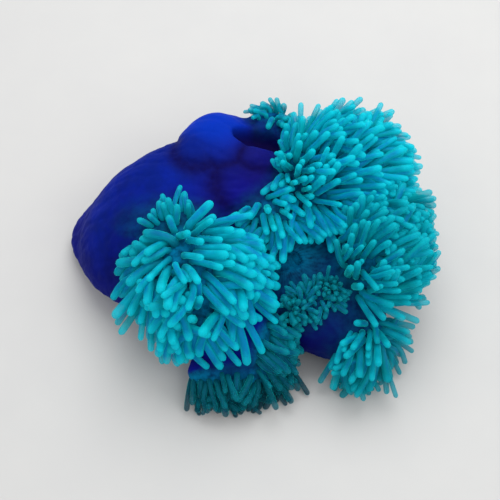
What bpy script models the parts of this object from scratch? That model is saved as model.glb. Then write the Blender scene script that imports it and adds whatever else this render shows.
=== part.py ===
"""A sea anemone lying slumped on the floor: a smooth column on its foot, and a folded oral disc
whose lobes are thick with blunt tentacles. Life size, in metres, +Z up, standing on z = 0."""

import math

import bmesh
import bpy
import numpy as np
from mathutils import Euler, Matrix, Vector

# ---- driving dimensions -------------------------------------------------------------------
GAP = 0.0003  # left between two masses that meet
BLEND = 0.006  # how widely neighbouring masses flow together
FLARE = 0.007  # how much more widely at the foot, where the column spreads
FLARE_START = -0.056  # along X from PLACE, where the spreading starts
FLARE_FRONT = -0.1025  # along Y from PLACE, where the spreading ends at the front
FLARE_SPAN = 0.040  # over which it grows to the full
REACH_OUT = 0.020  # how far a mass may flow out into the low swellings that lie on it
ROOT_SPACING = 0.0158  # between neighbouring tentacles
TENTACLE_LENGTH = 0.019  # as far as a tentacle stands free of the packed mass
TENTACLE_RADIUS = 0.0034
ROOT_DEPTH = 0.005  # how far a tentacle starts inside the mass that carries it
TENTACLE_SIDES = 5
ROOT_WIDTH = 0.85  # of the width near the tip
TIP_HEIGHT = 0.003  # of the blunt tip
LEANS = ((0.9, 1.0), (0.5, 1.0), (0.8, 0.75), (0.2, 0.75), (0.5, 0.55))  # lean and length, best first
CLEARANCE = 0.0006  # between two tentacles, and from a tentacle to the floor
PLACE = np.array((0.0025, 0.0265, 0.0))  # brings the middle of the footprint to the origin

# Fleshy masses, the ones that keep their whole shape first: each is cut by those before it.
# centre and radii are in millimetres, turn is the Euler angles in degrees, cuts the facets round.
# A mass with tentacles has a pole, the middle of its tentacled cap, and the cap's half-angle.
# They stream away from its parting, a point on the mass, and sweep leans them all one way.
# Where they are unlike the rest, spacing and length (a share of the usual) say so.
MASSES = {
    "lobe_inner": dict(centre=(47, -73, 50), radii=(24, 14, 14), turn=(20, 0, 24), cuts=12,
                       spacing=0.0105, length=0.55,
                       pole=(0.0, -0.2, 1.0), cap=100, parting=(49, -62, 50), sweep=(0.0, -0.3, 0.2)),
    "lobe_left": dict(centre=(-36, -56, 57), radii=(44, 44, 43), turn=(8, 0, -20), cuts=16,
                      pole=(-0.15, -0.22, 0.96), cap=106, parting=(-46, -24, 92), sweep=(0.1, -0.25, 0.0)),
    "lobe_top": dict(centre=(61, 24, 64), radii=(48, 46, 42), turn=(0, -6, 12), cuts=16,
                     pole=(0.45, 0.25, 0.80), cap=108, parting=(8, 18, 80), sweep=(0.35, 0.05, 0.0)),
    "lobe_right": dict(centre=(86, -29, 50), radii=(33, 50, 42), turn=(0, 10, 0), cuts=14,
                       pole=(0.70, -0.10, 0.70), cap=112, parting=(44, -10, 78), sweep=(0.5, -0.1, 0.0)),
    "column_bulge": dict(centre=(-23, 50, 54), radii=(30, 36, 34), turn=(-10, 0, 20), cuts=14),
    "column_fold": dict(centre=(6, 28, 50), radii=(27, 26, 25), turn=(0, 0, 0), cuts=14),
    "column_back": dict(centre=(10, 62, 34), radii=(38, 26, 36), turn=(0, 0, 0), cuts=14),
    "pedal_disc": dict(centre=(-70, 6, 10), radii=(66, 46, 17), turn=(0, 0, 0), cuts=16),
    "column": dict(centre=(-60, 0, 38), radii=(68, 56, 42), turn=(0, -14, 40), cuts=16),
    "lobe_corner": dict(centre=(77, -87, 27), radii=(27, 28, 26), turn=(0, 0, 20), cuts=12,
                        pole=(0.40, -0.60, 0.70), cap=120, parting=(56, -66, 50), sweep=(0.2, -0.3, 0.0)),
    "lobe_front": dict(centre=(-8, -106, 16), radii=(41, 20, 17), turn=(0, 0, 10), cuts=14,
                       pole=(0.1, -0.90, -0.05), cap=80, parting=(-10, -82, 44), sweep=(0.0, -0.5, 0.0)),
    "column_front": dict(centre=(-12, -84, 30), radii=(36, 28, 26), turn=(0, 0, 0), cuts=12,
                         pole=(1.0, -0.35, 0.10), cap=46, parting=(-6, -70, 50), sweep=(0.4, -0.2, 0.0)),
    "column_right": dict(centre=(64, -70, 25), radii=(30, 26, 26), turn=(0, 0, 0), cuts=12),
    "oral_disc": dict(centre=(32, -30, 44), radii=(36, 34, 18), turn=(10, 0, 0), cuts=14),
    "column_inner": dict(centre=(30, -20, 24), radii=(70, 62, 32), turn=(0, 0, -6), cuts=12),
}
# Low swellings of the flesh. Each belongs to whichever mass is nearest, which flows out into it.
SWELLINGS = {
    "wall": dict(centre=(50, -80, 29), radii=(25, 17, 24), turn=(0, 0, -12)),
    "lump": dict(centre=(3, 33, 70), radii=(14, 12, 13), turn=(0, 0, 0)),
    "fold": dict(centre=(-12, 13, 66), radii=(31, 20, 14), turn=(0, 0, 10)),
    "cheek": dict(centre=(-40, 31, 66), radii=(20, 21, 17), turn=(0, 0, -10)),
    "rim": dict(centre=(15, -10, 56), radii=(26, 22, 22), turn=(0, 0, -30)),
    "brow": dict(centre=(-52, -22, 70), radii=(20, 13, 13), turn=(0, 0, 8)),
    "tuft": dict(centre=(15, 71, 59), radii=(16, 15, 14), turn=(0, 0, 0)),
}
BODY = {**MASSES, **SWELLINGS}
MOUTH = dict(centre=(24, -42, 60), radii=(12, 7, 9), turn=(15, 0, -15), cuts=10)
FLOW = BLEND * math.log(2)  # how far two masses reach out where they meet
FLOW_STEP = 0.0001  # how finely that reach is found
PROBE = 0.006  # between the points that tell whether two masses touch
SAMPLES = 15  # along a tentacle, to tell whether its way is clear
MM = 0.001
SHARP = math.radians(50)  # an edge that turns by more is drawn as an edge
COLLECTION = "sea_anemone"
CUTTERS = "cutters"

# base colour and roughness of each kind of flesh
SKIN = ((0.014, 0.018, 0.26, 1.0), 0.35)
DISC = ((0.0, 0.12, 0.17, 1.0), 0.35)
TENTACLES = ((0.0, 0.33, 0.38, 1.0), 0.30)


# ---- scene and small helpers --------------------------------------------------------------
def clear_scene():
    for obj in list(bpy.data.objects):
        bpy.data.objects.remove(obj)


def new_collection(name):
    collection = bpy.data.collections.new(name)
    bpy.context.scene.collection.children.link(collection)
    return collection


def material(name, colour, roughness):
    made = bpy.data.materials.new(name)
    made.use_nodes = True
    shader = made.node_tree.nodes["Principled BSDF"]
    shader.inputs["Base Color"].default_value = colour
    shader.inputs["Roughness"].default_value = roughness
    shader.inputs["Metallic"].default_value = 0.0
    return made


def add_object(name, bm, collection):
    mesh = bpy.data.meshes.new(name)
    bm.to_mesh(mesh)
    bm.free()
    for face in mesh.polygons:
        face.use_smooth = True
    mesh.set_sharp_from_angle(angle=SHARP)
    obj = bpy.data.objects.new(name, mesh)
    collection.objects.link(obj)
    return obj


def unit(vectors):
    vectors = np.asarray(vectors, float)
    return vectors / np.linalg.norm(vectors, axis=-1, keepdims=True)


# ---- the masses as ellipsoids -------------------------------------------------------------
def turn_of(mass):
    return np.array(Euler([math.radians(a) for a in mass["turn"]]).to_matrix())


def centre_of(mass):
    return np.array(mass["centre"]) * MM + PLACE


def radii_of(mass):
    return np.array(mass["radii"]) * MM


def height_above(mass, points):
    """About how far points are outside a mass; negative inside it."""
    local = (np.asarray(points) - centre_of(mass)) @ turn_of(mass)
    level = np.linalg.norm(local / radii_of(mass), axis=-1)
    slope = np.linalg.norm(local / radii_of(mass) ** 2, axis=-1) / np.maximum(level, 1e-6)
    return (level - 1) / slope


def sphere_directions(count):
    """Unit vectors spread evenly over a sphere, along a Fibonacci spiral."""
    index = np.arange(count) + 0.5
    z = 1 - 2 * index / count
    angle = index * math.pi * (1 + math.sqrt(5))
    ring = np.sqrt(1 - z * z)
    return np.stack([ring * np.cos(angle), ring * np.sin(angle), z], 1)


def surface_points(mass, spacing):
    """Points spread over a mass about this far apart, and the outward normals there."""
    radii = radii_of(mass)
    area = 4 * math.pi * float(np.prod(radii)) ** (2 / 3)
    directions = sphere_directions(int(area / spacing**2))
    turn = turn_of(mass)
    points = (directions * radii) @ turn.T + centre_of(mass)
    normals = unit(directions / radii) @ turn.T
    return points, normals


def blend_at(points):
    """How widely masses flow together at points: more where the column spreads at its foot."""
    x, y, _ = (points - PLACE).T
    at_foot = np.clip((FLARE_START - x) / FLARE_SPAN, 0, 1)
    return BLEND + FLARE * at_foot * np.clip((y - FLARE_FRONT) / FLARE_SPAN, 0, 1)


def blended_height(points):
    """Height above all the flesh flowing together: a smooth minimum over the masses and swellings."""
    heights = np.array([height_above(mass, points) for mass in BODY.values()])
    blend = blend_at(points)
    return -blend * np.log(np.exp(-heights / blend).sum(axis=0))


def is_nearest(mass, points):
    """Whether a mass is the nearest of all the masses to points."""
    others = [height_above(other, points) for other in MASSES.values() if other is not mass]
    return height_above(mass, points) < np.min(others, axis=0)


def flow_out(mass, points):
    """Points of an ellipsoid moved out to where it flows into its neighbours, as far as midway."""
    outward = unit(points - centre_of(mass))
    out = np.zeros(len(points))
    flowing = np.ones(len(points), bool)
    for far in np.arange(FLOW_STEP, REACH_OUT, FLOW_STEP):
        there = points + outward * far
        flowing &= (blended_height(there) < 0) & ((far < FLOW) | is_nearest(mass, there))
        out = np.where(flowing, far, out)
    return points + outward * out[:, None]


def facet_rise(mass):
    """How far the corners of a bare mass stand out, so that its flat facets don't cut the flesh."""
    if "pole" in mass:
        return 0.0
    return float(radii_of(mass).mean()) * (1 / math.cos(math.pi / mass["cuts"]) - 1)


def ellipsoid(mass):
    bm = bmesh.new()
    bmesh.ops.create_uvsphere(bm, u_segments=mass["cuts"], v_segments=mass["cuts"] // 2, radius=1)
    place = Matrix.Translation(centre_of(mass)) @ Matrix(turn_of(mass)).to_4x4()
    bmesh.ops.transform(bm, matrix=place @ Matrix.Diagonal((*radii_of(mass), 1)), verts=bm.verts)
    return bm


def mass_mesh(mass, grow=0.0):
    """The mass, cut flat at the floor; a cutter is grown by the gap and isn't cut flat."""
    bm = ellipsoid(mass)
    points = flow_out(mass, np.array([vert.co for vert in bm.verts]))
    points += unit(points - centre_of(mass)) * (facet_rise(mass) + grow)
    for vert, point in zip(bm.verts, points):
        vert.co = point
    bmesh.ops.triangulate(bm, faces=bm.faces)
    if not grow:
        cut = bmesh.ops.bisect_plane(bm, geom=bm.verts[:] + bm.edges[:] + bm.faces[:],
                                     plane_co=(0, 0, 0), plane_no=(0, 0, -1), clear_outer=True)
        rim = [e for e in cut["geom_cut"] if isinstance(e, bmesh.types.BMEdge)]
        if rim:
            bmesh.ops.contextual_create(bm, geom=rim)
            bmesh.ops.triangulate(bm, faces=bm.faces)
    return bm


# ---- tentacles ----------------------------------------------------------------------------
def is_clear(points, carrier, placed):
    """Whether a tentacle keeps off the floor, the other masses and the tentacles already placed."""
    reach = TENTACLE_RADIUS + CLEARANCE
    heights = np.array([height_above(mass, points) for mass in MASSES.values()])
    own = list(MASSES).index(carrier)
    off = (heights > FLOW + reach) & (heights > heights[own] + reach)
    off_earlier = np.all(off[:own], axis=0)
    off_later = np.all(off[own + 1:], axis=0) | (heights[own] < -reach)
    clear = (blended_height(points) > reach) | (off_earlier & off_later)
    apart = [np.linalg.norm(points[:, None] - other[None], axis=-1).min() for other in placed]
    return clear.all() and points[:, 2].min() > reach and min(apart, default=1) > TENTACLE_RADIUS + reach


def place_tentacles():
    """The root and tip of each mass's tentacles: at full length and lean where there is room."""
    placed = []
    found = {name: [] for name, mass in MASSES.items() if "pole" in mass}
    steps = np.linspace(0, 1, SAMPLES)[:, None]
    for name, lines in found.items():
        mass = MASSES[name]
        parting = np.array(mass["parting"]) * MM + PLACE
        pole = unit(mass["pole"])
        for point, normal in zip(*surface_points(mass, mass.get("spacing", ROOT_SPACING))):
            if math.degrees(math.acos(np.clip(normal @ pole, -1, 1))) > mass["cap"]:
                continue
            flow = unit(point - parting) + mass["sweep"]
            flow = unit(flow - normal * (flow @ normal))
            for lean, share in LEANS:
                along = unit(normal + flow * lean)
                root = point - along * ROOT_DEPTH
                tip = point + along * TENTACLE_LENGTH * share * mass.get("length", 1)
                samples = root + (tip - root) * steps
                if is_clear(samples, name, placed):
                    placed.append(samples)
                    lines.append((Vector(root), Vector(tip)))
                    break
    return found


def tentacle_mesh(lines):
    """Each tentacle is a ring drawn out to a blunt, slightly wider tip."""
    bm = bmesh.new()
    for root, tip in lines:
        along = tip - root
        place = Matrix.Translation(root) @ along.to_track_quat("Z", "Y").to_matrix().to_4x4()
        ring = bmesh.ops.create_circle(bm, segments=TENTACLE_SIDES, radius=TENTACLE_RADIUS * ROOT_WIDTH,
                                       cap_ends=True, matrix=place)["verts"]
        face = bmesh.ops.extrude_discrete_faces(bm, faces=ring[0].link_faces)["faces"][0]
        bmesh.ops.translate(bm, verts=face.verts, vec=along - along.normalized() * TIP_HEIGHT)
        bmesh.ops.scale(bm, verts=face.verts, vec=(1 / ROOT_WIDTH,) * 3,
                        space=Matrix.Translation(-face.calc_center_median()))
        bmesh.ops.poke(bm, faces=[face])["verts"][0].co = tip
    bmesh.ops.holes_fill(bm, edges=[edge for edge in bm.edges if edge.is_boundary])
    bmesh.ops.recalc_face_normals(bm, faces=bm.faces)
    bmesh.ops.triangulate(bm, faces=bm.faces)
    return bm


# ---- the parts ----------------------------------------------------------------------------
def boolean(obj, operation, other):
    step = obj.modifiers.new(operation.lower(), "BOOLEAN")
    step.operation = operation
    step.solver = "EXACT"
    step.object = other


def touches(mass, other):
    points, _ = surface_points(mass, PROBE)
    return height_above(other, points).min() < 2 * REACH_OUT


def joined_to(start):
    """All the corners of the piece of flesh that a corner belongs to."""
    found = {start}
    waiting = [start]
    while waiting:
        for edge in waiting.pop().link_edges:
            for vert in edge.verts:
                if vert not in found:
                    found.add(vert)
                    waiting.append(vert)
    return found


def drop_scraps(obj):
    """Make the cuts, and leave out the crumbs that they part from a mass."""
    mesh = bpy.data.meshes.new_from_object(obj.evaluated_get(bpy.context.evaluated_depsgraph_get()))
    obj.modifiers.clear()
    obj.data = mesh
    bm = bmesh.new()
    bm.from_mesh(mesh)
    pieces = []
    left = set(bm.verts)
    while left:
        pieces.append(joined_to(next(iter(left))))
        left -= pieces[-1]
    biggest = max(pieces, key=len)
    bmesh.ops.delete(bm, geom=[vert for vert in bm.verts if vert not in biggest], context="VERTS")
    bm.to_mesh(mesh)
    bm.free()
    mesh.name = obj.name


def build():
    clear_scene()
    parts = new_collection(COLLECTION)
    cutters = new_collection(CUTTERS)
    surfaces = {
        "pedal": material("foot_skin", *SKIN),
        "column": material("column_skin", *SKIN),
        "oral": material("disc_skin", *DISC),
        "lobe": material("tentacle_skin", *TENTACLES),
    }
    lines = place_tentacles()
    earlier = []
    for name, mass in MASSES.items():
        obj = add_object(name, mass_mesh(mass), parts)
        obj.data.materials.append(surfaces[name.split("_")[0]])
        for other in earlier:
            if touches(mass, MASSES[other]):
                boolean(obj, "DIFFERENCE", bpy.data.objects["around_" + other])
        earlier.append(name)
        cutter = add_object("around_" + name, mass_mesh(mass, GAP), cutters)
        if name in lines:
            grown = add_object("tentacles_of_" + name, tentacle_mesh(lines[name]), cutters)
            boolean(obj, "UNION", grown)
    boolean(bpy.data.objects["oral_disc"], "DIFFERENCE", add_object("mouth", ellipsoid(MOUTH), cutters))
    for obj in parts.objects:
        drop_scraps(obj)
    for cutter in cutters.objects:
        cutter.hide_render = True
        cutter.display_type = "WIRE"
    print("tentacles:", {name: len(found) for name, found in lines.items()})


build()
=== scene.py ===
# %% [markdown]
# # A sea anemone, slumped on the floor
#
# The animal has three things to show: a smooth, muscular **column** standing on its foot, a
# folded **oral disc** whose lobes spill over the column, and more than a thousand blunt
# **tentacles** that cover the lobes. The solids give the size and the layout. This notebook
# makes the looks around them: one skin without a seam, and tentacles that grow out of it.

# %% The frame
import math

import bmesh
import bpy
import numpy as np
from mathutils import Euler, Matrix, Vector, noise
from mathutils.kdtree import KDTree


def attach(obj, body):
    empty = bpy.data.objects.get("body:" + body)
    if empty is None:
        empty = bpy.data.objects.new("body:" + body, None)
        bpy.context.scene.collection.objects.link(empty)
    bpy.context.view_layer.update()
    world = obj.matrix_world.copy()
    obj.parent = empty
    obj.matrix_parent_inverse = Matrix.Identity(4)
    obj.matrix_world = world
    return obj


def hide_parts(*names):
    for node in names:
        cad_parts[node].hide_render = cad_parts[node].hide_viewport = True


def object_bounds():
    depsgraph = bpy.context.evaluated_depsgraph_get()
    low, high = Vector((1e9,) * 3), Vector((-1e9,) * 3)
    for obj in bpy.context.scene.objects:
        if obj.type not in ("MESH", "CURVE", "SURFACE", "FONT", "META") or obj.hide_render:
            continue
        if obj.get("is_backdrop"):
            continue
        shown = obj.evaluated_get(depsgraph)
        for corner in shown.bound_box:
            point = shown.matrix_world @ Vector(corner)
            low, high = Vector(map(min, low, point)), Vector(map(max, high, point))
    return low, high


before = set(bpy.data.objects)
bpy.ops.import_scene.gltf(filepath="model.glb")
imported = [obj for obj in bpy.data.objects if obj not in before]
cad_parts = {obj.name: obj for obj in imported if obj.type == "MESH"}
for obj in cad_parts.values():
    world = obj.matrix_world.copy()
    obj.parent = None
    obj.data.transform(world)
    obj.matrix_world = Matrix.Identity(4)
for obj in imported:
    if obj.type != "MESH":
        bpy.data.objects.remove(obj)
cad_low, cad_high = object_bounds()
MM = 0.001
print("solids:", len(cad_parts), "size in mm:", [round(s / MM, 1) for s in cad_high - cad_low])

# %% [markdown]
# ## The masses of flesh
#
# An anemone has no bones, so its shape is a handful of soft masses that press on each other.
# Each is an ellipsoid, at about the place of its solid. A mass with tentacles is smaller than
# its solid by the depth of the *coat*, because the tentacles fill the rest. Its *pole* is the
# middle of the tentacled cap, and *cap* the cap's half-angle. The tentacles lie away from a
# *parting*, a line near the mass, as hair does, and *sweep* turns them all one way. They are
# shorter where they head the *short* way and darker where they head the *shaded* way, which is
# the short way unless it is given. *reach* and *width* are a tentacle's length and radius,
# *spacing* the distance between roots, and *dim* is for lobes that grow in the shade.
#
# The *swellings* are low and lie on the masses: the body wall under the small inner lobe, the
# round lump and the fold beside the bulge, and three that carry tentacles of their own.

# %% Centres and radii in millimetres, turns and caps in degrees
MASSES = {
    "lobe_inner": dict(centre=(47, -73, 50), radii=(24, 14, 14), turn=(20, 0, 24), coat=3,
                       pole=(0.0, -0.2, 1.0), cap=100, parting=((30, -80, 60), (62, -66, 62)),
                       sweep=(0.0, -0.3, 0.2), short=(0.0, 0.0, 0.0),
                       reach=17, width=1.6, spacing=3.8, dim=0.66),
    "lobe_left": dict(centre=(-40, -57, 57), radii=(41, 45, 43), turn=(8, 0, 10), coat=8,
                      pole=(-0.15, -0.22, 0.96), cap=106, parting=((-54, -26, 78), (-48, -86, 68)),
                      sweep=(0.15, -0.60, 0.0), short=(-0.15, 0.60, 0.0),
                      shaded=(-0.9, 0.4, 0.0), reach=38, width=2.8, spacing=6.8, dim=0.0),
    "lobe_top": dict(centre=(61, 24, 64), radii=(48, 46, 42), turn=(0, -6, 12), coat=8,
                     pole=(0.45, 0.25, 0.80), cap=108, parting=((18, 50, 78), (22, 8, 84)),
                     sweep=(0.40, 0.05, 0.0), short=(-0.55, 0.1, 0.0),
                     reach=34, width=2.2, spacing=5.5, dim=0.0),
    "lobe_right": dict(centre=(86, -29, 50), radii=(33, 50, 42), turn=(0, 10, 0), coat=7,
                       pole=(0.70, -0.10, 0.70), cap=112, parting=((42, 5, 46), (56, -74, 34)),
                       sweep=(0.50, -0.15, 0.2), short=(-0.8, 0.0, 0.0),
                       reach=35, width=2.25, spacing=5.6, dim=0.24),
    "column_bulge": dict(centre=(-23, 50, 54), radii=(30, 36, 34), turn=(-10, 0, 20)),
    "column_fold": dict(centre=(6, 28, 50), radii=(27, 26, 25), turn=(0, 0, 0)),
    "column_back": dict(centre=(10, 62, 34), radii=(38, 26, 36), turn=(0, 0, 0)),
    "pedal_disc": dict(centre=(-70, 6, 10), radii=(66, 46, 17), turn=(0, 0, 0)),
    "column": dict(centre=(-60, 0, 38), radii=(68, 56, 42), turn=(0, -14, 40)),
    "lobe_corner": dict(centre=(77, -87, 27), radii=(27, 28, 26), turn=(0, 0, 20), coat=6,
                        pole=(0.25, -0.60, 0.70), cap=120, parting=((84, -78, 50), (94, -74, 48)),
                        sweep=(-0.1, -0.35, 0.0), short=(0.0, 0.4, 0.0),
                        reach=31, width=2.25, spacing=5.6, dim=0.22),
    "lobe_front": dict(centre=(-8, -106, 16), radii=(41, 20, 17), turn=(0, 0, 10), coat=4,
                       pole=(0.1, -0.90, -0.05), cap=80, parting=((-34, -84, 40), (20, -84, 40)),
                       sweep=(0.0, -0.5, 0.0), short=(0.0, 0.0, 0.0),
                       reach=26, width=2.1, spacing=5.2, dim=0.62),
    "column_front": dict(centre=(-12, -84, 30), radii=(36, 28, 26), turn=(0, 0, 0), coat=1,
                         pole=(1.0, -0.35, 0.10), cap=48, parting=((-6, -66, 50), (-6, -100, 50)),
                         sweep=(0.4, -0.2, 0.0), short=(0.0, 0.0, 0.0),
                         reach=26, width=2.1, spacing=5.2, dim=0.62),
    "column_right": dict(centre=(64, -70, 25), radii=(30, 26, 26), turn=(0, 0, 0)),
    "oral_disc": dict(centre=(32, -30, 44), radii=(36, 34, 18), turn=(10, 0, 0)),
    "column_inner": dict(centre=(30, -20, 24), radii=(70, 62, 32), turn=(0, 0, -6)),
}
SWELLINGS = {
    "wall": dict(centre=(50, -80, 29), radii=(25, 17, 24), turn=(0, 0, -12)),
    "lump": dict(centre=(3, 33, 70), radii=(14, 12, 13), turn=(0, 0, 0)),
    "fold": dict(centre=(-12, 13, 66), radii=(31, 20, 14), turn=(0, 0, 10)),
    "cheek": dict(centre=(-40, 31, 66), radii=(20, 21, 17), turn=(0, 0, -10)),
    "rim": dict(centre=(15, -10, 56), radii=(26, 22, 22), turn=(0, 0, -30), coat=2,
                pole=(0.4, -0.40, 0.83), cap=74, parting=((10, 8, 72), (32, 16, 84)),
                sweep=(0.1, -0.6, -0.1), short=(-0.6, 0.0, 0.0),
                reach=32, width=2.3, spacing=6.0, dim=0.0),
    "brow": dict(centre=(-52, -22, 70), radii=(20, 13, 13), turn=(0, 0, 8), coat=1,
                 pole=(-0.25, 0.45, 0.85), cap=78, parting=((-62, -42, 80), (-38, -42, 82)),
                 sweep=(-0.25, 0.2, 0.1), short=(0.0, 0.0, 0.0),
                 reach=19, width=2.0, spacing=5.2, dim=0.25),
    "tuft": dict(centre=(15, 71, 59), radii=(16, 15, 14), turn=(0, 0, 0), coat=1,
                 pole=(-0.3, 0.35, 0.85), cap=78, parting=((17, 68, 66), (19, 64, 66)),
                 sweep=(-0.2, 0.1, 0.2), short=(0.0, 0.0, 0.0),
                 reach=19, width=1.9, spacing=5.4, dim=0.25),
}
BODY = {**MASSES, **SWELLINGS}
MOUTH = dict(centre=(24, -42, 60), radii=(12, 7, 9), turn=(15, 0, -15))
MOUTH_LIP = 2 * MM
RECESS = dict(centre=(6, 50, 76), radii=(22, 9, 16), turn=(0, 0, -4))
PLACE = np.array((2.5, 26.5, 0)) * MM  # brings the middle of the footprint to the origin
INSET = 0.5 * MM  # how far the skin lies under the melted masses
NAMES = list(MASSES)
LOBES = [name for name in BODY if "pole" in BODY[name]]
print(len(BODY), "masses,", len(LOBES), "of them with tentacles")


# %% [markdown]
# ## One height for the whole body
#
# To melt the masses into one skin we need to know how high a point is over all of them. The
# height over a single ellipsoid is easy to estimate. A *smooth minimum* of these heights is
# low wherever a mass is near, and it rounds the valley between two neighbours as flesh does.
# Its slope is the way out of the skin, and each mass's share in it tells where we are on
# the animal. The masses melt more widely at the foot, where the column spreads on the floor.

# %% Heights, ways out and shares
BLEND = 6 * MM
FLARE = 7 * MM
FLARE_START = -56 * MM  # along X from PLACE, where the spreading starts
FLARE_FRONT = -102.5 * MM  # along Y from PLACE, where the spreading ends at the front
FLARE_SPAN = 40 * MM


def unit(vectors):
    vectors = np.asarray(vectors, float)
    return vectors / np.maximum(np.linalg.norm(vectors, axis=-1, keepdims=True), 1e-12)


def turn_of(mass):
    return np.array(Euler([math.radians(a) for a in mass["turn"]]).to_matrix())


def centre_of(mass):
    return np.array(mass["centre"]) * MM + PLACE


def radii_of(mass):
    return (np.array(mass["radii"], float) - mass.get("coat", 0)) * MM


def over_mass(mass, points):
    """How high points are over one mass, and the way out of it there."""
    turn = turn_of(mass)
    radii = radii_of(mass)
    local = (points - centre_of(mass)) @ turn
    level = np.linalg.norm(local / radii, axis=-1)
    slope = np.linalg.norm(local / radii**2, axis=-1) / np.maximum(level, 1e-6)
    return (level - 1) / slope, unit(local / radii**2) @ turn.T


def blend_at(points):
    """How widely masses melt together at points."""
    x, y, _ = (points - PLACE).T
    at_foot = np.clip((FLARE_START - x) / FLARE_SPAN, 0, 1)
    return BLEND + FLARE * at_foot * np.clip((y - FLARE_FRONT) / FLARE_SPAN, 0, 1)


def over_body(points):
    """How high points are over the body, the way out of it, and each mass's share there."""
    found = [over_mass(mass, points) for mass in BODY.values()]
    heights = np.array([height for height, _ in found])
    blend = blend_at(points)
    powers = np.exp(-heights / blend)
    total = powers.sum(axis=0)
    shares = powers / total
    outward = unit(sum(share[:, None] * way for share, (_, way) in zip(shares, found)))
    return -blend * np.log(total), outward, dict(zip(BODY, shares))


def over_skin(points):
    """The same with the mouth sunk into the body."""
    height, outward, shares = over_body(points)
    sunk, inward = over_mass(MOUTH, points)
    in_mouth = np.clip(0.5 - (sunk + height) / (2 * MOUTH_LIP), 0, 1)
    height = height * (1 - in_mouth) - sunk * in_mouth
    return height, unit(outward * (1 - in_mouth[:, None]) - inward * in_mouth[:, None]), shares


print("the mouth is", round(float(over_body(centre_of(MOUTH)[None])[0][0] / MM), 1), "mm over the body")

# %% [markdown]
# ## The skin
#
# The living skin is one sheet from the foot to the mouth. We could sculpt it from a single
# ball, but it is simpler to start from one rough ball for each mass and let a *voxel remesh*
# melt them into one even net. The net only has to be closed and even: each of its points is
# then moved to the true skin along the way out, so no voxel steps are left. Points below the
# floor are laid on it, which gives the foot its flat sole.

# %% Balls, melted together
VOXEL = 1.75 * MM
BALL_CUTS = 40
SETTLING_STEPS = 14


def add_object(name, bm):
    mesh = bpy.data.meshes.new(name)
    bm.to_mesh(mesh)
    bm.free()
    obj = bpy.data.objects.new(name, mesh)
    bpy.context.scene.collection.objects.link(obj)
    return obj


def apply_modifiers(obj):
    shaped = bpy.data.meshes.new_from_object(obj.evaluated_get(bpy.context.evaluated_depsgraph_get()))
    obj.modifiers.clear()
    obj.data = shaped
    shaped.name = obj.name
    return obj


def points_of(mesh):
    points = np.empty(len(mesh.vertices) * 3)
    mesh.vertices.foreach_get("co", points)
    return points.reshape(-1, 3)


def set_points(mesh, points):
    mesh.vertices.foreach_set("co", np.ascontiguousarray(points, np.float32).ravel())
    mesh.update()


bm = bmesh.new()
for mass in BODY.values():
    place = Matrix.Translation(centre_of(mass)) @ Matrix(turn_of(mass)).to_4x4()
    bmesh.ops.create_uvsphere(bm, u_segments=BALL_CUTS, v_segments=BALL_CUTS // 2, radius=1,
                              matrix=place @ Matrix.Diagonal((*radii_of(mass), 1)))
skin = add_object("skin", bm)
remesh = skin.modifiers.new("melt", "REMESH")
remesh.mode = "VOXEL"
remesh.voxel_size = VOXEL
apply_modifiers(skin)

points = points_of(skin.data)
for _ in range(SETTLING_STEPS):
    height, outward, _ = over_skin(points)
    points -= outward * np.clip(height + INSET, -VOXEL, VOXEL)[:, None]
print("skin:", len(points), "points, left over in mm:", round(float(abs(height + INSET).max() / MM), 3))

# %% [markdown]
# ### Furrows and folds
#
# The column is a ring of muscle with walls behind it, and these show as shallow furrows that
# run from the foot to the lobes. Where two masses press on each other the skin gathers in
# small folds. Both are real dents, so they are moved into the net. The angle round
# the column's axis gives the furrows, and a stretched noise breaks their evenness. Beside the
# bulge there is also a deep *recess* between the folds, and narrow *seams* where they meet.

# %% Dents in the net
FOOT = np.array((-79, 5, 0)) * MM + PLACE
AXIS = unit((0.80, 0.0, 0.60))
FURROWS = 30
FURROW_DEPTH = 0.45 * MM
WANDERS = ((30 * MM, 0.0, 2.7), (11 * MM, 3.0, 0.75))  # sizes, seeds and strengths, in radians
CREASE = (0.15, 0.65)  # of the blend: where a crease between masses starts and is full
GATHER = np.diag((1.0, 1.0, 0.45))  # stretches the small folds upwards
FOLD_DEPTH = 0.7 * MM
FOLD_SIZE = 7 * MM
SWELL_DEPTH = 1.3 * MM
SWELL_SIZE = 26 * MM
FOLDED = (("column_bulge", "cheek"), ("column_fold", "fold"), ("lump",))
NOISE_FROM = np.array((1.5, -1.0, 0)) * MM  # where the noises are measured from
RECESS_DEPTH = 9 * MM
RECESS_EDGE = 7 * MM
SEAM_DEPTH = 1.2 * MM
SEAM_WIDTH = 3.4 * MM
SOLE = 0.35 * VOXEL  # points lower than this are laid on the floor


def noise_at(points, size, seed=0.0):
    """A smooth noise from -1 to 1 whose lumps are this big."""
    shift = Vector((seed, seed * 0.7, seed * 1.3))
    return np.array([noise.noise(Vector(p) / size + shift) for p in points - NOISE_FROM])


def round_axis(points):
    """The angle of points round the column's axis, from the foot."""
    side = unit(np.cross(AXIS, (0, 1, 0)))
    up = np.cross(AXIS, side)
    return np.arctan2((points - FOOT) @ up, (points - FOOT) @ side)


def over_any(names, points):
    """How high points are over the nearest of some masses."""
    return np.min([over_mass(BODY[name], points)[0] for name in names], axis=0)


def seam_near(group, points):
    """1 where a group of masses meets the others, 0 a few millimetres away."""
    others = [name for name in BODY if name not in group]
    return np.exp(-((over_any(group, points) - over_any(others, points)) / SEAM_WIDTH) ** 2)


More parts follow.
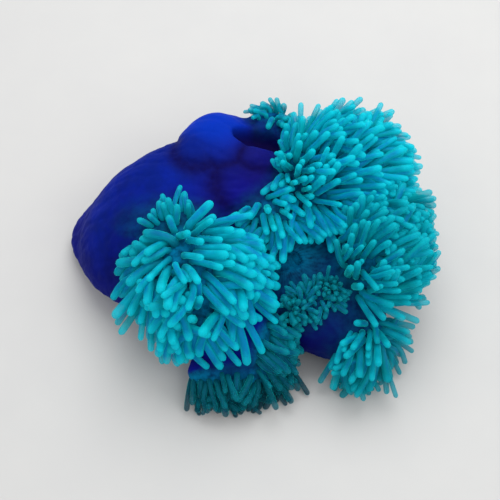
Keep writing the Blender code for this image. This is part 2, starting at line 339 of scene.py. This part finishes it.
height, outward, shares = over_skin(points)
lobes_share = sum(shares[name] for name in LOBES)
seams = np.max([seam_near(group, points) for group in FOLDED], axis=0) * (1 - lobes_share)
closest = over_any(BODY, points)
crease = np.clip(((closest - height) / BLEND - CREASE[0]) / (CREASE[1] - CREASE[0]), 0, 1)
wander = sum(noise_at(points, size, seed) * strength for size, seed, strength in WANDERS)
furrows = np.cos(round_axis(points) * FURROWS + wander)
furrows = -FURROW_DEPTH * np.clip(furrows, 0, 1) ** 2 * (1 - lobes_share)
folds = -FOLD_DEPTH * (1 - 2 * abs(noise_at(points @ GATHER, FOLD_SIZE, 5.0))) * crease
swells = SWELL_DEPTH * np.clip(noise_at(points, SWELL_SIZE, 9.0) - 0.35, -1, 0) * (1 - lobes_share)
in_recess = np.clip(0.5 - over_mass(RECESS, points)[0] / RECESS_EDGE, 0, 1)
in_recess = in_recess**2 * (3 - 2 * in_recess)
dents = furrows + np.minimum(folds, 0) + swells - SEAM_DEPTH * seams - RECESS_DEPTH * in_recess
points += outward * dents[:, None]
points[:, 2] = np.where(points[:, 2] < SOLE, 0, points[:, 2])
set_points(skin.data, points)
skin.data.polygons.foreach_set("use_smooth", [True] * len(skin.data.polygons))
print("skin:", sum(len(p.vertices) - 2 for p in skin.data.polygons), "triangles")

# %% [markdown]
# ### Where the skin is what
#
# One material has to be purple on the column, teal on the disc and painted dark as shade in the
# folds. It is told where it is by a few numbers stored on the net's points, worked out from the same
# masses, so the border between wall and disc follows the tentacled caps.

# %% Marks on the net
DISC_EDGE = 12  # degrees over which the disc fades into the wall
# the low column is painted redder towards the foot, the tint it has in the shade
RUDDY = 60 * MM  # the height up to which the foot is redder


def cap_share(mass, points):
    """1 on a mass's tentacled cap, 0 behind it, with a soft edge."""
    _, way = over_mass(mass, points)
    angle = np.degrees(np.arccos(np.clip(way @ unit(mass["pole"]), -1, 1)))
    return np.clip((mass["cap"] + DISC_EDGE - angle) / DISC_EDGE, 0, 1)


def mark(mesh, name, values):
    attribute = mesh.attributes.new(name, "FLOAT", "POINT")
    attribute.data.foreach_set("value", np.ascontiguousarray(values, np.float32))


disc = 1.3 * shares["oral_disc"] + sum(shares[name] * cap_share(BODY[name], points) for name in LOBES)
mark(skin.data, "disc", np.clip(disc * 1.3 - 0.15, 0, 1))
# crease, hollow and seam mark where the skin material paints shade
mark(skin.data, "crease", crease)
mark(skin.data, "pale", shares["column_bulge"] + shares["cheek"] + 0.7 * shares["column_back"])
# partly painted shade: the fold's redder tint is its own, the redder tint towards the foot is painted shade
near_foot = np.clip(1 - points[:, 2] / RUDDY, 0, 1) * (1 - shares["column_bulge"])
mark(skin.data, "red", shares["column_fold"] + shares["fold"] + 0.8 * near_foot)
mark(skin.data, "grey", shares["lump"])
mark(skin.data, "hollow", np.clip(in_recess + 0.6 * shares["wall"], 0, 1))
mark(skin.data, "seam", seams)
print("share of the skin that is disc:", round(float((disc > 0.5).mean()), 2))

# %% [markdown]
# ## One tentacle
#
# A tentacle is a soft finger, a little wider at its root, waisted above it and slightly swollen
# under a blunt tip. Its side view is drawn once as a line of points and *spun* round its axis.
# The height of a point counts joints, not metres: the finger has seven joints, and each
# will be taken to its place on a bent path later. Above the last joint the height counts radii.

# %% The finger
SIDES = 8
JOINTS = 7
LAST = JOINTS - 1
# radius as a share of the tentacle's own, and the joint
PROFILE = ((0.0, 0.0), (1.08, 1.0), (0.97, 2.0), (0.94, 3.0), (0.97, 4.0), (1.02, 5.0), (0.99, 6.0),
           (0.82, 6.5), (0.46, 6.86), (0.0, 7.0))

bm = bmesh.new()
line = [bm.verts.new((radius, 0, joint)) for radius, joint in PROFILE]
for low, high in zip(line, line[1:]):
    bm.edges.new((low, high))
bmesh.ops.spin(bm, geom=bm.verts[:] + bm.edges[:], cent=(0, 0, 0), axis=(0, 0, 1), steps=SIDES,
               angle=2 * math.pi, use_merge=True)
bmesh.ops.remove_doubles(bm, verts=bm.verts, dist=1e-4)
bmesh.ops.recalc_face_normals(bm, faces=bm.faces)
layer = bm.loops.layers.uv.new("OFBake")
for face in bm.faces:
    middle = face.calc_center_median()
    face.smooth = True
    for loop in face.loops:
        at = loop.vert.co
        turned = (Vector((at.x, at.y)).angle_signed(Vector((middle.x, middle.y)), 0)
                  if at.xy.length > 1e-6 else 0)
        across = (math.atan2(middle.y, middle.x) + turned) / (2 * math.pi) + 0.5
        loop[layer].uv = (across, at.z / PROFILE[-1][1])
print("one tentacle:", len(bm.faces), "faces, u from",
      round(min(l[layer].uv.x for f in bm.faces for l in f.loops), 3), "to",
      round(max(l[layer].uv.x for f in bm.faces for l in f.loops), 3))
finger = add_object("finger", bm)

# %% [markdown]
# ## Roots
#
# On each lobe the tentacles stand as evenly as seeds on a sunflower head, so a Fibonacci spiral
# over the mass gives the places, nudged a little at random. A root is left out where another
# mass covers it or where it is behind the edge of the tentacled cap.

# %% Roots on the lobes
NUDGE = 0.22  # of the spacing
COVERED = 1.5 * MM  # a root is left out when another mass is nearer than this
SEED = 7
rng = np.random.default_rng(SEED)


def sphere_ways(count):
    """Unit vectors spread evenly over a sphere, along a Fibonacci spiral."""
    index = np.arange(count) + 0.5
    z = 1 - 2 * index / count
    angle = index * math.pi * (1 + math.sqrt(5))
    ring = np.sqrt(1 - z * z)
    return np.stack([ring * np.cos(angle), ring * np.sin(angle), z], 1)


def roots_on(name):
    mass = BODY[name]
    radii = radii_of(mass)
    spacing = mass["spacing"] * MM
    area = 4 * math.pi * float(np.prod(radii)) ** (2 / 3)
    ways = sphere_ways(int(area / spacing**2))
    ways = unit(ways + rng.normal(0, NUDGE * spacing / radii.mean(), ways.shape))
    places = (ways * radii) @ turn_of(mass).T + centre_of(mass)
    _, out = over_mass(mass, places)
    angle = np.degrees(np.arccos(np.clip(out @ unit(mass["pole"]), -1, 1)))
    others = over_any([other for other in BODY if other != name], places)
    keep = (angle < mass["cap"]) & (others > COVERED)
    return places[keep], out[keep]


roots = {name: roots_on(name) for name in LOBES}
print("tentacles:", {name: len(places) for name, (places, _) in roots.items()})

# %% [markdown]
# ## Paths
#
# Each tentacle leaves the skin straight and then leans the way that the whole lobe's tentacles
# are swept. A curve with three points does that: the root, a *knee* up and a little along from
# it that the curve is drawn towards, and the tip. Near the parting the tentacles are shorter and
# more upright, as they have nothing to lean on. Neighbours share a random push, so they lie in
# clumps, and thickness, length and lean differ from one to the next. Each root starts under the
# skin, so that its closed end never shows.

# %% A path for every tentacle
SUNK = 4.5 * MM  # how deep a root starts under the skin
STAND = (0.12, 0.68)  # the rise for each length along the skin
HUG = 0.25  # how far a tip is drawn back to the skin that curves away under it
HOVER = 0.4  # the height it is drawn towards, as a share of the length
LENGTHS = (0.72, 1.12)  # shares of a lobe's reach
WILD = 0.22  # how far single tentacles stray from the flow
CLUMP = 16 * MM
CLUMPING = 1.5  # how far whole clumps stray
CLUMP_SEED = 31
NEAR = 19 * MM  # from the parting, where tentacles are short and upright
UPRIGHT = 0.3
LOOSE = 0.8  # of the flow that is lost at the parting
STUNTED = 0.3  # of the length that is lost there
KNEE_RISE = (0.16, 0.34)  # of the length: for all, and more for those that stand
KNEE_ALONG = 0.28
SHAKE = 1.5 * MM  # random shifts of knee and tip


def wild(places, size, strength, seed):
    """A random push that neighbours share."""
    return strength * np.stack([noise_at(places, size, seed + k) for k in (0, 20, 40)], 1)


def from_parting(mass, places):
    """The way from the nearest point of the parting."""
    one, two = np.array(mass["parting"]) * MM + PLACE
    line = two - one
    share = np.clip((places - one) @ line / (line @ line), 0, 1)
    return places - one - share[:, None] * line


def paths_on(name):
    """Joints from each root to its tip, which lies down-flow at a height of its own."""
    mass = BODY[name]
    places, out = roots[name]
    count = len(places)
    away = from_parting(mass, places)
    near = np.exp(-(np.linalg.norm(away, axis=1) / NEAR) ** 2)[:, None]
    flow = unit(away) * (1 - LOOSE * near) + np.array(mass["sweep"])
    flow = flow + rng.normal(0, WILD, (count, 3))
    flow += wild(places, CLUMP, CLUMPING, CLUMP_SEED)
    flow = unit(flow - out * (flow * out).sum(1, keepdims=True))
    reach = mass["reach"] * MM * rng.uniform(*LENGTHS, count)[:, None] * (1 - STUNTED * near)
    reach *= 1 - np.clip(flow @ np.array(mass["short"]), 0, 1)[:, None]
    stand = rng.uniform(*STAND, count)[:, None] + near * UPRIGHT
    way = unit(flow + out * stand)
    tip = places + way * reach
    height, up, _ = over_body(tip)
    tip -= up * HUG * (height - HOVER * reach[:, 0])[:, None]
    knee = places + (out * (KNEE_RISE[0] + KNEE_RISE[1] * stand) + flow * KNEE_ALONG) * reach
    knee += rng.normal(0, SHAKE, (count, 3))
    tip += rng.normal(0, SHAKE, (count, 3))
    start = places - out * SUNK
    steps = np.linspace(0, 1, JOINTS)[None, :, None]
    return (start[:, None] * (1 - steps) ** 2 + 2 * knee[:, None] * steps * (1 - steps)
            + tip[:, None] * steps**2)


THICKNESSES = (0.78, 1.20)  # shares of a lobe's width
paths = np.concatenate([paths_on(name) for name in LOBES])
owner = np.repeat(range(len(LOBES)), [len(roots[name][0]) for name in LOBES])
widths = np.array([BODY[LOBES[index]]["width"] for index in owner]) * MM
thickness = widths * rng.uniform(*THICKNESSES, len(paths))
print(len(paths), "paths, mean length in mm:",
      round(float(np.linalg.norm(np.diff(paths, axis=1), axis=2).sum(1).mean() / MM), 1))

# %% [markdown]
# ### Making room
#
# Drawn like this, the tentacles cut through each other. Living ones push each other aside and
# lie in layers, so the paths are *settled*: beads are strung along each one, beads of different
# tentacles that are too near push apart, and the joints are drawn back to their distances. The
# skin, the floor and the room that the solids take push as well. Then each path is given a
# slight *waver* from side to side, as no living tentacle is straight, and all settle once more
# without being drawn home. Most then lie clear or barely touch. Where they are packed
# thickest they still press into each other a little, as soft flesh does.

# %% Settling
FRESH = 6  # rounds between two searches for near beads
SEARCH = 2.3  # of the thickest radius
EAGER = 0.7  # of each push that is followed
SKIN_GAP = 0.4 * MM
EDGE = 0.4 * MM  # inside the room that the solids take
ROOTED = 0.35  # how firmly the first joint is held
FIRST_GO = dict(rounds=48, pull=0.10, firm=0.18)
SECOND_GO = dict(rounds=30, pull=0.0, firm=0.10)
SMOOTHINGS = 4
SMOOTH = 0.3
PRESS = 1.0 * MM  # what the printed count calls pressing
WAVER = 2.0 * MM
WAVES = (0.6, 1.1)
beads_of = np.zeros((2 * LAST, JOINTS))
for joint in range(LAST):
    beads_of[2 * joint, joint:joint + 2] = (0.5, 0.5)
    beads_of[2 * joint + 1, joint + 1] = 1
low = np.array(cad_low) + EDGE
high = np.array(cad_high) - EDGE


def near_pairs(beads, reach):
    """Beads of different tentacles that are within reach of each other."""
    flat = beads.reshape(-1, 3)
    tree = KDTree(len(flat))
    for index, bead in enumerate(flat):
        tree.insert(bead, index)
    tree.balance()
    per = beads.shape[1]
    pairs = [(a, b) for a, bead in enumerate(flat) for _, b, _ in tree.find_range(bead, reach)
             if b > a and a // per != b // per]
    return np.array(pairs)


def waver(paths):
    """Snake each path a little from side to side, more towards its tip."""
    count = len(paths)
    steps = np.linspace(0, 1, JOINTS)[None]
    phase = rng.uniform(0, 2 * math.pi, (count, 1))
    waves = rng.uniform(*WAVES, (count, 1))
    size = WAVER * rng.uniform(0.3, 1, (count, 1))
    swing = np.sin(phase + 2 * math.pi * waves * steps)
    sideways = size * steps * (swing - np.sin(phase) * (1 - steps))
    ahead = unit(paths[:, -1] - paths[:, 0])
    across = unit(np.cross(ahead, unit(rng.normal(size=(count, 3)))))
    return paths + across[:, None] * sideways[..., None]


def settle(paths, thickness, rounds, pull, firm):
    """Push paths apart in rounds, drawn home by the pull, which fades, and kept to their lengths."""
    home = paths.copy()
    lengths = np.linalg.norm(np.diff(home, axis=1), axis=2)
    per = len(beads_of)
    size = np.repeat(thickness, per)
    wide = np.repeat(thickness, JOINTS - 2)
    for turn in range(rounds):
        beads = np.einsum("bj,njd->nbd", beads_of, paths)
        if turn % FRESH == 0:
            one, two = near_pairs(beads, SEARCH * thickness.max()).T
        flat = beads.reshape(-1, 3)
        gap = flat[one] - flat[two]
        apart = np.linalg.norm(gap, axis=1)
        short = np.maximum(size[one] + size[two] - apart, 0)
        push = gap / np.maximum(apart, 1e-7)[:, None] * (short * 0.5)[:, None]
        total = np.zeros_like(flat)
        np.add.at(total, one, push)
        np.add.at(total, two, -push)
        counts = np.bincount(np.concatenate([one[short > 0], two[short > 0]]), minlength=len(flat))
        total /= np.maximum(counts, 1)[:, None] ** 0.5
        moved = np.einsum("bj,nbd->njd", beads_of, total.reshape(beads.shape))
        paths = paths + moved * EAGER
        paths += (home - paths) * pull * (1 - turn / rounds)
        paths[:, 1:-1] += (paths[:, :-2] + paths[:, 2:] - 2 * paths[:, 1:-1]) * firm
        joints = paths[:, 2:].reshape(-1, 3)
        height, outward, _ = over_body(joints)
        joints = joints + outward * np.maximum(wide + SKIN_GAP - height, 0)[:, None]
        joints = np.clip(joints, low + wide[:, None], high - wide[:, None])
        paths[:, 2:] = joints.reshape(paths[:, 2:].shape)
        paths[:, 0] = home[:, 0]
        paths[:, 1] += (home[:, 1] - paths[:, 1]) * ROOTED
        for joint in range(1, JOINTS):
            step = paths[:, joint] - paths[:, joint - 1]
            paths[:, joint] = paths[:, joint - 1] + unit(step) * lengths[:, joint - 1:joint]
    print("pairs of beads that press by more than 1 mm:", int((short > PRESS).sum()), "of", len(one))
    return paths


paths = settle(paths, thickness, **FIRST_GO)
for _ in range(SMOOTHINGS):
    paths[:, 1:-1] += (paths[:, :-2] + paths[:, 2:] - 2 * paths[:, 1:-1]) * SMOOTH
paths = settle(waver(paths), thickness, **SECOND_GO)
margin = thickness[:, None, None]
paths[:, 2:] = np.clip(paths[:, 2:], low + margin, high - margin)
ahead = unit(np.diff(paths, axis=1))
bends = np.degrees(np.arccos(np.clip((ahead[:, 1:] * ahead[:, :-1]).sum(2), -1, 1))).max(axis=1)
print("sharpest bends in degrees:", np.round(np.sort(bends)[-5:]))

# %% [markdown]
# ### Growing the tentacles
#
# An Array modifier makes as many copies of the finger as a lobe has paths. The copies come out
# one after the other, so the points of each are taken along its path: the joint says where, and
# the round position says which side. A frame carried along the path keeps the finger from
# twisting. The map called OFBake gives each tentacle a small patch at its root's place on
# the lobe, flattened outward from the lobe's pole, so that neighbours on the animal are
# neighbours on the map.

# %% Frames and meshes
PATCH = 0.02  # across, on the map
LOW = 50 * MM  # below this height less light comes in between the lobes
LOW_DIM = 0.42
TURNED_DIM = 0.45  # for tentacles that head the shaded way


def frames_along(paths):
    """At each joint the way ahead and two ways across it, carried along without twist."""
    ahead = unit(np.gradient(paths, axis=1))
    across = np.empty_like(ahead)
    side = unit(np.cross(ahead[:, 0], unit(rng.normal(size=(len(paths), 3)))))
    for joint in range(JOINTS):
        side = unit(side - ahead[:, joint] * (side * ahead[:, joint]).sum(1, keepdims=True))
        across[:, joint] = side
    return ahead, across, np.cross(ahead, across)


def map_places(name, places):
    """Where roots are on a flat map of the lobe, from 0 to 1, with areas kept true."""
    mass = BODY[name]
    _, out = over_mass(mass, places)
    pole = unit(mass["pole"])
    east = unit(np.cross(pole, (0.0, 1.0, 0.1)))
    north = np.cross(pole, east)
    radius = np.sqrt(np.maximum(1 - out @ pole, 0) / 2)
    way = unit(np.stack([out @ east, out @ north], 1))
    return 0.5 + way * radius[:, None] * (0.5 - PATCH)


def grow(name):
    mine = owner == LOBES.index(name)
    count = int(mine.sum())
    piece = bpy.data.objects.new("tentacles_" + name.replace("lobe_", ""), finger.data.copy())
    bpy.context.scene.collection.objects.link(piece)
    copies = piece.modifiers.new("copies", "ARRAY")
    copies.count = count
    copies.use_relative_offset = False
    apply_modifiers(piece)
    shape = points_of(piece.data).reshape(count, -1, 3)
    joint = np.clip(np.round(shape[0, :, 2]), 0, LAST).astype(int)
    beyond = np.maximum(shape[0, :, 2] - LAST, 0)
    here = paths[mine]
    ahead, across, aside = frames_along(here)
    wide = thickness[mine][:, None, None]
    grown = (here[:, joint] + across[:, joint] * shape[..., :1] * wide
             + aside[:, joint] * shape[..., 1:2] * wide + ahead[:, joint] * beyond[None, :, None] * wide)
    set_points(piece.data, grown.reshape(-1, 3))
    mark(piece.data, "along", np.tile(np.minimum(shape[0, :, 2] / LAST, 1), count))
    _, up, _ = over_body(here.reshape(-1, 3))
    up = up.reshape(here.shape)[:, joint]
    # back: how far a point faces away from the body; the material paints the sides lighter as a bright
    # outline
    side = unit(across[:, joint] * shape[..., :1] + aside[:, joint] * shape[..., 1:2])
    mark(piece.data, "back", ((side * up).sum(-1) * (beyond == 0)).ravel())
    mark(piece.data, "own", np.repeat(rng.uniform(0, 1, count), shape.shape[1]))
    low_down = LOW_DIM * np.clip(1 - grown[..., 2] / LOW, 0, 1)
    heading = unit(here[:, -1] - here[:, 0])
    shaded = np.array(BODY[name].get("shaded", BODY[name]["short"]))
    turned_away = np.clip(heading @ shaded, 0, 1)[:, None] * TURNED_DIM
    mark(piece.data, "dim", np.clip(BODY[name]["dim"] + low_down + turned_away, 0, 1).ravel())
    places = map_places(name, roots[name][0])
    patches = np.empty(len(piece.data.loops) * 2)
    piece.data.uv_layers["OFBake"].data.foreach_get("uv", patches)
    patches = places[:, None] + (patches.reshape(count, -1, 2) - 0.5) * PATCH
    piece.data.uv_layers["OFBake"].data.foreach_set("uv", patches.ravel())
    print(piece.name, count, "tentacles,", count * len(finger.data.polygons), "faces")
    return piece


tentacles = {name: grow(name) for name in LOBES}
bpy.data.objects.remove(finger)

# %% [markdown]
# ## Materials
#
# Shader maths reads best as formulas. `Value` wraps a socket so that `+`, `-` and `*` add Math
# nodes, and `Finish.node` adds any other node from its type, settings and sockets.

# %% Formulas for shaders
class Value:
    """A socket that can be reckoned with."""

    def __init__(self, finish, socket):
        self.finish = finish
        self.socket = socket

    def reckon(self, operation, *values):
        return self.finish.node("ShaderNodeMath", {"operation": operation}, dict(enumerate(values)))

    def __add__(self, other):
        return self.reckon("ADD", self, other)

    def __sub__(self, other):
        return self.reckon("SUBTRACT", self, other)

    def __rsub__(self, other):
        return self.reckon("SUBTRACT", other, self)

    def __mul__(self, other):
        return self.reckon("MULTIPLY", self, other)

    __radd__ = __add__
    __rmul__ = __mul__

    def between(self, low, high):
        """0 up to low, 1 from high, and smooth between."""
        return self.finish.node("ShaderNodeMapRange", {"interpolation_type": "SMOOTHSTEP"},
                                {0: self, 1: low, 2: high, 3: 0.0, 4: 1.0})


class Finish:
    """A material, and short ways to add nodes to it."""

    def __init__(self, name, **constants):
        self.material = bpy.data.materials.new(name)
        self.material.use_nodes = True
        self.tree = self.material.node_tree
        self.shader = self.tree.nodes["Principled BSDF"]
        for socket, value in constants.items():
            self.shader.inputs[socket.replace("_", " ")].default_value = value

    def node(self, kind, settings, sockets, output=0):
        made = self.tree.nodes.new(kind)
        for name, value in settings.items():
            setattr(made, name, value)
        for name, value in sockets.items():
            if isinstance(value, Value):
                self.tree.links.new(value.socket, made.inputs[name])
            else:
                made.inputs[name].default_value = value
        return Value(self, made.outputs[output])

    def set(self, socket, value):
        self.tree.links.new(value.socket, self.shader.inputs[socket])

    def attribute(self, name):
        return self.node("ShaderNodeAttribute", {"attribute_name": name}, {}, output="Fac")

    def places(self):
        return self.node("ShaderNodeTexCoord", {}, {}, output="Object")

    def noise(self, size, detail=3.0):
        """A noise whose lumps are this big, mostly between 0.3 and 0.7."""
        return self.node("ShaderNodeTexNoise", {}, {"Vector": self.places(), "Scale": 1 / size,
                                                    "Detail": detail, "Roughness": 0.55})

    def mix(self, factor, one, two):
        return self.node("ShaderNodeMix", {"data_type": "RGBA"}, {0: factor, 6: one, 7: two}, output=2)

    def bump(self, height, distance, strength):
        self.set("Normal", self.node("ShaderNodeBump", {}, {"Height": height, "Distance": distance,
                                                            "Strength": strength}))


# %% [markdown]
# ### Tentacle flesh
#
# A tentacle is a thin-walled tube of jelly over a darker core. The side that faces away from the
# body is mixed towards the bluish core and the sides stay lighter: partly the real core, partly a
# painted bright outline, the light that the thin translucent wall gives. Near its root, between its
# neighbours, it is painted deep teal as shade; it is cyan-green along its length and palest under
# the tip. Soft light scatters in it, it is a little see-through towards the tip, and a faint sheen
# lights its outline as the thin wall does on the animal. A weak painted glow in its own colour
# stands for the light that such flesh gives back and lifts the shade between tentacles. Each
# tentacle has its own green, random clumps and specks are a little darker, and those in the shade
# are painted darker.

# %% Tentacle material
ROOT_SHADE_AND_DARK_TONE = (0.0, 0.110, 0.185, 1)
CORE = (0.0, 0.220, 0.480, 1)
WALL = (0.0, 0.430, 0.540, 1)
TIP = (0.002, 0.530, 0.640, 1)
GREEN = (0.0, 0.360, 0.320, 1)
SHADE = (0.0, 0.045, 0.070, 1)

flesh = Finish("tentacle_flesh", Roughness=0.5, Subsurface_Weight=0.35, Subsurface_Scale=0.004,
               Subsurface_Radius=(0.2, 1.0, 1.0), Sheen_Weight=1.0, Sheen_Roughness=0.2,
               Sheen_Tint=(0.03, 1.0, 0.9, 1), Specular_IOR_Level=0.06, Emission_Strength=0.16)
along = flesh.attribute("along")
own = flesh.attribute("own")
blotches = flesh.noise(4 * MM)
clumps = flesh.noise(15 * MM, 1.0)
grain = flesh.noise(0.9 * MM)
back = flesh.attribute("back") + (blotches - 0.5) * 0.5
wall = flesh.mix((own + (blotches - 0.5) * 0.8).between(0.3, 1.1) * 0.5, WALL, GREEN)
# partly painted light: the side facing away from the body goes to the darker core, the lighter sides paint
# the bright outline of the translucent wall
colour = flesh.mix(back.between(0.30, 0.90), wall, CORE)
colour = flesh.mix((0.62 - clumps + own * 0.12).between(0.0, 0.3) * 0.25, colour, ROOT_SHADE_AND_DARK_TONE)
colour = flesh.mix((along + (blotches - 0.5) * 0.2).between(0.80, 1.0) * 0.8, colour, TIP)
# painted shade: the root, down between its neighbours, is mixed towards deep teal
colour = flesh.mix(along.between(0.02, 0.65), ROOT_SHADE_AND_DARK_TONE, colour)
colour = flesh.mix((grain - 0.5).between(0.0, 0.25) * 0.15, colour, ROOT_SHADE_AND_DARK_TONE)
colour = flesh.mix(flesh.attribute("dim"), colour, SHADE)
flesh.set("Base Color", colour)
# painted glow: the flesh gives back light in its own colour, which lifts the shade between tentacles
flesh.set("Emission Color", colour)
flesh.set("Alpha", 1 - along.between(0.3, 0.9) * 0.35)
flesh.set("Roughness", 0.45 + grain * 0.2)
flesh.bump(grain, 0.25 * MM, 0.5)
for piece in tentacles.values():
    piece.data.materials.clear()
    piece.data.materials.append(flesh.material)
print("nodes in the tentacle material:", len(flesh.tree.nodes))

# %% [markdown]
# ### Skin
#
# The column is a deep violet-blue, paler where it is stretched over the bulge and redder in the fold.
# Towards the foot it is painted redder, the tint it has in the shade, and it is painted dark as shade
# where masses meet, in the seams between the folds and in the recess. The disc under the tentacles
# is dark teal with fine grooves that run out from the mouth, painted darker as shade in its creases.
# Fine wrinkles and a wet film finish both.

# %% Skin material
VIOLET = (0.001, 0.012, 0.250, 1)
INDIGO = (0.001, 0.010, 0.160, 1)
PALE = (0.0, 0.028, 0.400, 1)
REDDISH = (0.010, 0.001, 0.250, 1)
GREYISH = (0.012, 0.010, 0.190, 1)
PAINTED_SHADE = (0.003, 0.0005, 0.030, 1)
DISC = (0.0, 0.150, 0.300, 1)
DISC_DARK = (0.0, 0.030, 0.070, 1)
DISC_CREASE_SHADE = (0.0, 0.012, 0.030, 1)
MOUTH_AT = centre_of(MOUTH)
GROOVES = 48  # round the mouth

hide = Finish("column_and_disc_skin", Roughness=0.4, Subsurface_Weight=0.15, Subsurface_Scale=0.004,
              Subsurface_Radius=(0.4, 0.5, 1.0), Sheen_Weight=0.1, Sheen_Tint=(0.02, 0.1, 1.0, 1),
              Specular_IOR_Level=0.02)
clouds = hide.noise(18 * MM)
mottle = hide.noise(4 * MM)
pores = hide.noise(0.8 * MM)
colour = hide.mix(clouds.between(0.35, 0.65), INDIGO, VIOLET)
colour = hide.mix(hide.attribute("pale") * (0.55 + mottle * 0.5), colour, PALE)
colour = hide.mix(hide.attribute("red") * (0.4 + mottle * 0.6), colour, REDDISH)
colour = hide.mix(hide.attribute("grey"), colour, GREYISH)
colour = hide.mix((mottle - 0.5).between(0.0, 0.3) * 0.35, colour, INDIGO)
# painted shade where masses meet
colour = hide.mix(hide.attribute("crease") * 0.45, colour, PAINTED_SHADE)
# painted shade in the seams between the folds
colour = hide.mix(hide.attribute("seam") * (0.4 + mottle * 0.6), colour, PAINTED_SHADE)
apart = hide.node("ShaderNodeVectorMath", {"operation": "SUBTRACT"}, {0: hide.places(), 1: MOUTH_AT})
east, north = (hide.node("ShaderNodeSeparateXYZ", {}, {0: apart}, output=axis) for axis in "XY")
angle = north.reckon("ARCTAN2", north, east)
waves = angle * GROOVES + clouds * 6.0
grooves = waves.reckon("SINE", waves)
disc_colour = hide.mix((grooves * 0.05 + mottle).between(0.2, 0.7), DISC_DARK, DISC)
# painted shade in the disc's creases
disc_colour = hide.mix(hide.attribute("crease") * 0.5, disc_colour, DISC_CREASE_SHADE)
disc = hide.attribute("disc")
colour = hide.mix(disc, colour, disc_colour)
# painted shade: the recess and the body wall under the small inner lobe are mixed dark
hide.set("Base Color", hide.mix(hide.attribute("hollow") * 0.9, colour, PAINTED_SHADE))
hide.set("Roughness", 0.45 + mottle * 0.2)
hide.bump(pores * 0.35 + mottle * 0.9 + grooves * disc * 0.15, 0.5 * MM, 0.6)
skin.data.materials.clear()
skin.data.materials.append(hide.material)
print("nodes in the skin material:", len(hide.tree.nodes))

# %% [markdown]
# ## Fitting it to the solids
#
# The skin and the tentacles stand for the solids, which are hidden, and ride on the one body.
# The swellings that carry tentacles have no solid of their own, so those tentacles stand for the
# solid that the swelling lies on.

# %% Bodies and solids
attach(skin, "root")
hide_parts(*NAMES)
STANDS_FOR = {"rim": "lobe_top", "tuft": "lobe_top", "brow": "lobe_left"}
for name, piece in tentacles.items():
    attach(piece, "root")
    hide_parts(STANDS_FOR.get(name, name))

# %% [markdown]
# ## Floor, light and camera
#
# The model lies on a plain pale floor. A big soft light above and behind leaves the low front
# in shade, a weak one fills from the camera's side, and a pale surround keeps the shadows soft.
# The camera looks down at the animal at sixty degrees.

# %% Floor
bm = bmesh.new()
bmesh.ops.create_grid(bm, x_segments=1, y_segments=1, size=1.5)
floor = add_object("floor", bm)
plaster = Finish("pale_floor", Roughness=0.8)
plaster.set("Base Color", plaster.mix(plaster.noise(60 * MM), (0.52, 0.52, 0.52, 1), (0.56, 0.56, 0.55, 1)))
floor.data.materials.append(plaster.material)
floor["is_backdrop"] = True


# %% Lights
def soft_light(name, at, size, power):
    light = bpy.data.lights.new(name, "AREA")
    light.shape = "DISK"
    light.size = size
    light.energy = power
    obj = bpy.data.objects.new(name, light)
    obj.location = at
    obj.rotation_euler = (Vector((0, 0, 0.04)) - obj.location).to_track_quat("-Z", "Y").to_euler()
    bpy.context.scene.collection.objects.link(obj)
    return obj


soft_light("key", (0.10, 0.45, 1.0), 0.9, 7.5)
soft_light("fill", (0.6, -0.5, 0.9), 0.8, 2.5)
world = bpy.data.worlds.new("studio")
world.use_nodes = True
world.node_tree.nodes["Background"].inputs["Color"].default_value = (1, 1, 1, 1)
world.node_tree.nodes["Background"].inputs["Strength"].default_value = 0.85
bpy.context.scene.world = world
bpy.context.scene.view_settings.view_transform = "Standard"

# %% Camera
ELEVATION = math.radians(60)
DISTANCE = 0.815
TARGET = Vector((2.5, 0.5, 45)) * MM
back = Vector((0, -math.cos(ELEVATION), math.sin(ELEVATION)))
camera = bpy.data.objects.new("camera", bpy.data.cameras.new("camera"))
camera.data.lens = 80
camera.data.sensor_width = 36
camera.location = TARGET + back * DISTANCE
camera.rotation_euler = (-back).to_track_quat("-Z", "Y").to_euler()
bpy.context.scene.collection.objects.link(camera)
bpy.context.scene.camera = camera

# %% Size, and the end
low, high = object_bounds()
print("visual size in mm:", [round(s / MM, 1) for s in high - low])
